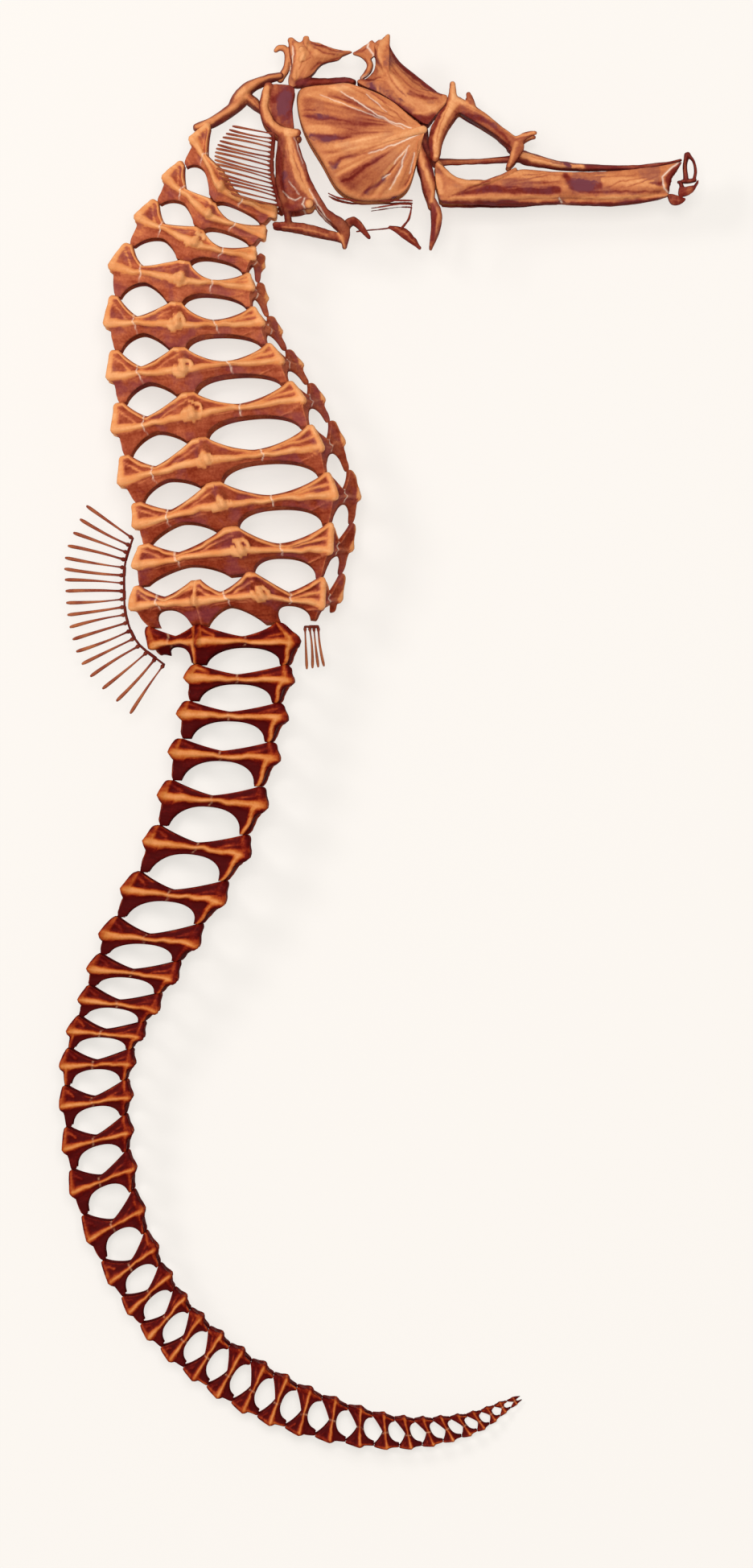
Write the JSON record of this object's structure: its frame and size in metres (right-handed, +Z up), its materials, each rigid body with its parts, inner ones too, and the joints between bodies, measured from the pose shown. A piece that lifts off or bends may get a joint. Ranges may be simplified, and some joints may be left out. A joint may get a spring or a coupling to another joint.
{
  "type": "seahorse skeleton",
  "caption": "Dried skeleton of a lined seahorse lying on its left side: bony rings with open windows, tubular snout, fanned gill cover, coronet, curled tapering tail and ray fins",
  "frame": {"origin": "middle of the bounding box in plan, on the floor that the skeleton lies on", "axes": "+X towards the tip of the snout, +Y towards the crown of the head, along the body, +Z up from the floor through the right side of the body"},
  "size_m": [0.0676, 0.15, 0.0144],
  "materials": {
    "armour_bone": "satin, orange-tan ridges over dark red-brown webs",
    "skull_bone": "satin, orange-tan with purple-brown patches",
    "fin_ray": "satin, dark red-brown"
  },
  "bodies": {
    "root": {"trunk_ring_01": "armour_bone", "trunk_ring_02": "armour_bone", "trunk_ring_03": "armour_bone", "trunk_ring_04": "armour_bone", "trunk_ring_05": "armour_bone", "trunk_ring_06": "armour_bone", "trunk_ring_07": "armour_bone", "trunk_ring_08": "armour_bone", "trunk_ring_09": "armour_bone", "trunk_ring_10": "armour_bone", "trunk_ring_11": "armour_bone", "tail_ring_01": "armour_bone", "tail_ring_02": "armour_bone", "tail_ring_03": "armour_bone", "tail_ring_04": "armour_bone", "tail_ring_05": "armour_bone", "tail_ring_06": "armour_bone", "tail_ring_07": "armour_bone", "tail_ring_08": "armour_bone", "tail_ring_09": "armour_bone", "tail_ring_10": "armour_bone", "tail_ring_11": "armour_bone", "tail_ring_12": "armour_bone", "tail_ring_13": "armour_bone", "tail_ring_14": "armour_bone", "tail_ring_15": "armour_bone", "tail_ring_16": "armour_bone", "tail_ring_17": "armour_bone", "tail_ring_18": "armour_bone", "tail_ring_19": "armour_bone", "tail_ring_20": "armour_bone", "tail_ring_21": "armour_bone", "tail_ring_22": "armour_bone", "tail_ring_23": "armour_bone", "tail_ring_24": "armour_bone", "tail_ring_25": "armour_bone", "tail_ring_26": "armour_bone", "tail_ring_27": "armour_bone", "tail_tip": "armour_bone", "cranium": "skull_bone", "coronet": "skull_bone", "nape": "skull_bone", "snout_roof": "skull_bone", "orbit_right": "skull_bone", "orbit_left": "skull_bone", "opercle_right": "skull_bone", "opercle_left": "skull_bone", "preopercle_right": "skull_bone", "preopercle_left": "skull_bone", "snout_side_right": "skull_bone", "snout_side_left": "skull_bone", "upper_jaw": "skull_bone", "lower_jaw": "skull_bone", "hyoid": "skull_bone", "girdle_right": "skull_bone", "girdle_left": "skull_bone", "pectoral_fin_right": "fin_ray", "pectoral_fin_left": "fin_ray", "dorsal_fin": "fin_ray", "anal_fin": "fin_ray"}
  },
  "joints": []
}
